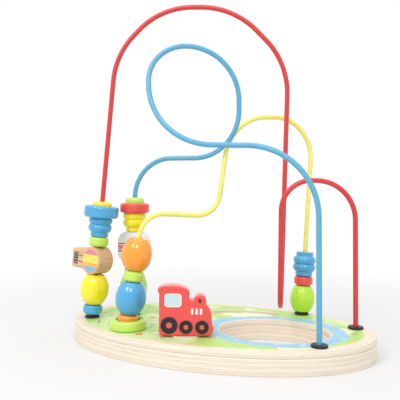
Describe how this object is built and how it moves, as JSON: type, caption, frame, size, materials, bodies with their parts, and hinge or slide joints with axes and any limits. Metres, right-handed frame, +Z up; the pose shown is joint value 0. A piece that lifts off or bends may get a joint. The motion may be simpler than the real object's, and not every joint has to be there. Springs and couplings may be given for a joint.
{
  "type": "bead maze",
  "caption": "Oval plywood base with bent coated wires that carry painted wooden beads, rings and cut-outs, and a train cut-out on a curved track.",
  "frame": {"origin": "centre of the underside of the base", "axes": "+X along the base to the right, +Y from the front to the back, +Z up"},
  "size_m": [0.2621, 0.154, 0.2937],
  "materials": {
    "birch": "satin lacquered plywood",
    "printed_top": "printed and lacquered plywood",
    "red_coat": "gloss coated steel wire",
    "blue_coat": "gloss coated steel wire",
    "yellow_coat": "gloss coated steel wire",
    "black_plastic": "satin black plastic",
    "pale_plastic": "satin pale plastic",
    "red_paint": "gloss painted wood",
    "blue_paint": "gloss painted wood",
    "yellow_paint": "gloss painted wood",
    "lime_paint": "gloss painted wood",
    "green_paint": "gloss painted wood",
    "orange_paint": "gloss painted wood",
    "plain_wood": "clear lacquered wood",
    "white_paint": "gloss painted wood"
  },
  "bodies": {
    "base": {"lower_base": "birch", "upper_base": "printed_top", "red_wire": "red_coat", "blue_wire": "blue_coat", "yellow_wire": "yellow_coat", "red_left_grommet": "black_plastic", "red_right_grommet": "black_plastic", "blue_left_grommet": "black_plastic", "blue_right_grommet": "black_plastic", "yellow_left_grommet": "black_plastic", "yellow_right_grommet": "black_plastic"},
    "train_slider": {"train_slider": "pale_plastic"},
    "train": {"train": "red_paint"},
    "red_leg_blue_bead": {"red_leg_blue_bead": "blue_paint"},
    "red_leg_yellow_egg": {"red_leg_yellow_egg": "yellow_paint"},
    "balloon": {"balloon": "plain_wood"},
    "red_leg_lime_bead": {"red_leg_lime_bead": "lime_paint"},
    "red_leg_ribbed_bead": {"red_leg_ribbed_bead": "blue_paint"},
    "red_leg_blue_ring": {"red_leg_blue_ring": "blue_paint"},
    "red_leg_yellow_bead": {"red_leg_yellow_bead": "yellow_paint"},
    "blue_leg_low_bead": {"blue_leg_low_bead": "yellow_paint"},
    "blue_leg_lime_egg": {"blue_leg_lime_egg": "lime_paint"},
    "blue_leg_mid_bead": {"blue_leg_mid_bead": "red_paint"},
    "white_cut_out": {"white_cut_out": "white_paint"},
    "blue_leg_ribbed_bead": {"blue_leg_ribbed_bead": "yellow_paint"},
    "blue_leg_red_ring": {"blue_leg_red_ring": "red_paint"},
    "blue_leg_lime_bead": {"blue_leg_lime_bead": "lime_paint"},
    "yellow_leg_lime_ring": {"yellow_leg_lime_ring": "lime_paint"},
    "yellow_leg_orange_bead": {"yellow_leg_orange_bead": "orange_paint"},
    "yellow_leg_blue_egg": {"yellow_leg_blue_egg": "blue_paint"},
    "yellow_leg_lime_bead": {"yellow_leg_lime_bead": "lime_paint"},
    "yellow_leg_orange_egg": {"yellow_leg_orange_egg": "orange_paint"},
    "back_leg_green_egg": {"back_leg_green_egg": "green_paint"},
    "back_leg_red_bead": {"back_leg_red_bead": "red_paint"},
    "back_leg_ribbed_bead": {"back_leg_ribbed_bead": "blue_paint"}
  },
  "joints": [
    {"name": "train_track", "type": "hinge", "parent": "base", "child": "train_slider", "pos_m": [0.022, -0.003, 0.018], "axis": [0, 0, 1], "range_deg": [-149, 0]},
    {"name": "train_turn", "type": "hinge", "parent": "train_slider", "child": "train", "pos_m": [-0.012, -0.04812, 0.02], "axis": [0, 0, 1], "continuous": true},
    {"name": "red_leg_blue_bead_slide", "type": "slide", "parent": "base", "child": "red_leg_blue_bead", "axis": [0.0787, 0.0262, 0.9966], "range_m": [0, 0.01]},
    {"name": "red_leg_yellow_egg_slide", "type": "slide", "parent": "red_leg_blue_bead", "child": "red_leg_yellow_egg", "axis": [0.0787, 0.0262, 0.9966], "range_m": [0, 0.015]},
    {"name": "balloon_turn", "type": "hinge", "parent": "red_leg_yellow_egg", "child": "balloon", "pos_m": [-0.11, -0.018, 0.021], "axis": [0.0787, 0.0262, 0.9966], "range_deg": [-35, 165]},
    {"name": "red_leg_lime_bead_slide", "type": "slide", "parent": "balloon", "child": "red_leg_lime_bead", "axis": [0.0787, 0.0262, 0.9966], "range_m": [0, 0.015]},
    {"name": "red_leg_ribbed_bead_slide", "type": "slide", "parent": "red_leg_lime_bead", "child": "red_leg_ribbed_bead", "axis": [0.0787, 0.0262, 0.9966], "range_m": [0, 0.02]},
    {"name": "red_leg_blue_ring_slide", "type": "slide", "parent": "red_leg_ribbed_bead", "child": "red_leg_blue_ring", "axis": [0.0787, 0.0262, 0.9966], "range_m": [0, 0.03]},
    {"name": "red_leg_yellow_bead_slide", "type": "slide", "parent": "red_leg_ribbed_bead", "child": "red_leg_yellow_bead", "axis": [0.0787, 0.0262, 0.9966], "range_m": [0, 0.035]},
    {"name": "blue_leg_low_bead_turn", "type": "hinge", "parent": "base", "child": "blue_leg_low_bead", "pos_m": [-0.081, 0.005, 0.021], "axis": [0.0072, 0, 1], "continuous": true},
    {"name": "blue_leg_lime_egg_turn", "type": "hinge", "parent": "base", "child": "blue_leg_lime_egg", "pos_m": [-0.081, 0.005, 0.021], "axis": [0.0072, 0, 1], "continuous": true},
    {"name": "blue_leg_mid_bead_turn", "type": "hinge", "parent": "base", "child": "blue_leg_mid_bead", "pos_m": [-0.081, 0.005, 0.021], "axis": [0.0072, 0, 1], "continuous": true},
    {"name": "white_cut_out_turn", "type": "hinge", "parent": "base", "child": "white_cut_out", "pos_m": [-0.081, 0.005, 0.021], "axis": [0.0072, 0, 1], "continuous": true},
    {"name": "blue_leg_ribbed_bead_turn", "type": "hinge", "parent": "base", "child": "blue_leg_ribbed_bead", "pos_m": [-0.081, 0.005, 0.021], "axis": [0.0072, 0, 1], "continuous": true},
    {"name": "blue_leg_red_ring_turn", "type": "hinge", "parent": "base", "child": "blue_leg_red_ring", "pos_m": [-0.081, 0.005, 0.021], "axis": [0.0072, 0, 1], "continuous": true},
    {"name": "blue_leg_lime_bead_turn", "type": "hinge", "parent": "base", "child": "blue_leg_lime_bead", "pos_m": [-0.081, 0.005, 0.021], "axis": [0.0072, 0, 1], "continuous": true},
    {"name": "yellow_leg_lime_ring_turn", "type": "hinge", "parent": "base", "child": "yellow_leg_lime_ring", "pos_m": [-0.06305, -0.04414, 0.018], "axis": [0, 0, 1], "continuous": true},
    {"name": "yellow_leg_orange_bead_turn", "type": "hinge", "parent": "base", "child": "yellow_leg_orange_bead", "pos_m": [-0.0635, -0.0445, 0.021], "axis": [0.1035, 0.0817, 0.9913], "continuous": true},
    {"name": "yellow_leg_blue_egg_turn", "type": "hinge", "parent": "base", "child": "yellow_leg_blue_egg", "pos_m": [-0.0635, -0.0445, 0.021], "axis": [0.1035, 0.0817, 0.9913], "continuous": true},
    {"name": "yellow_leg_lime_bead_turn", "type": "hinge", "parent": "base", "child": "yellow_leg_lime_bead", "pos_m": [-0.0635, -0.0445, 0.021], "axis": [0.1035, 0.0817, 0.9913], "continuous": true},
    {"name": "yellow_leg_orange_egg_turn", "type": "hinge", "parent": "base", "child": "yellow_leg_orange_egg", "pos_m": [-0.0635, -0.0445, 0.021], "axis": [0.1035, 0.0817, 0.9913], "continuous": true},
    {"name": "back_leg_green_egg_slide", "type": "slide", "parent": "base", "child": "back_leg_green_egg", "axis": [0.0421, 0.0337, 0.9985], "range_m": [0, 0.02]},
    {"name": "back_leg_red_bead_slide", "type": "slide", "parent": "back_leg_green_egg", "child": "back_leg_red_bead", "axis": [0.0421, 0.0337, 0.9985], "range_m": [0, 0.02]},
    {"name": "back_leg_ribbed_bead_slide", "type": "slide", "parent": "back_leg_red_bead", "child": "back_leg_ribbed_bead", "axis": [0.0421, 0.0337, 0.9985], "range_m": [0, 0.035]}
  ]
}
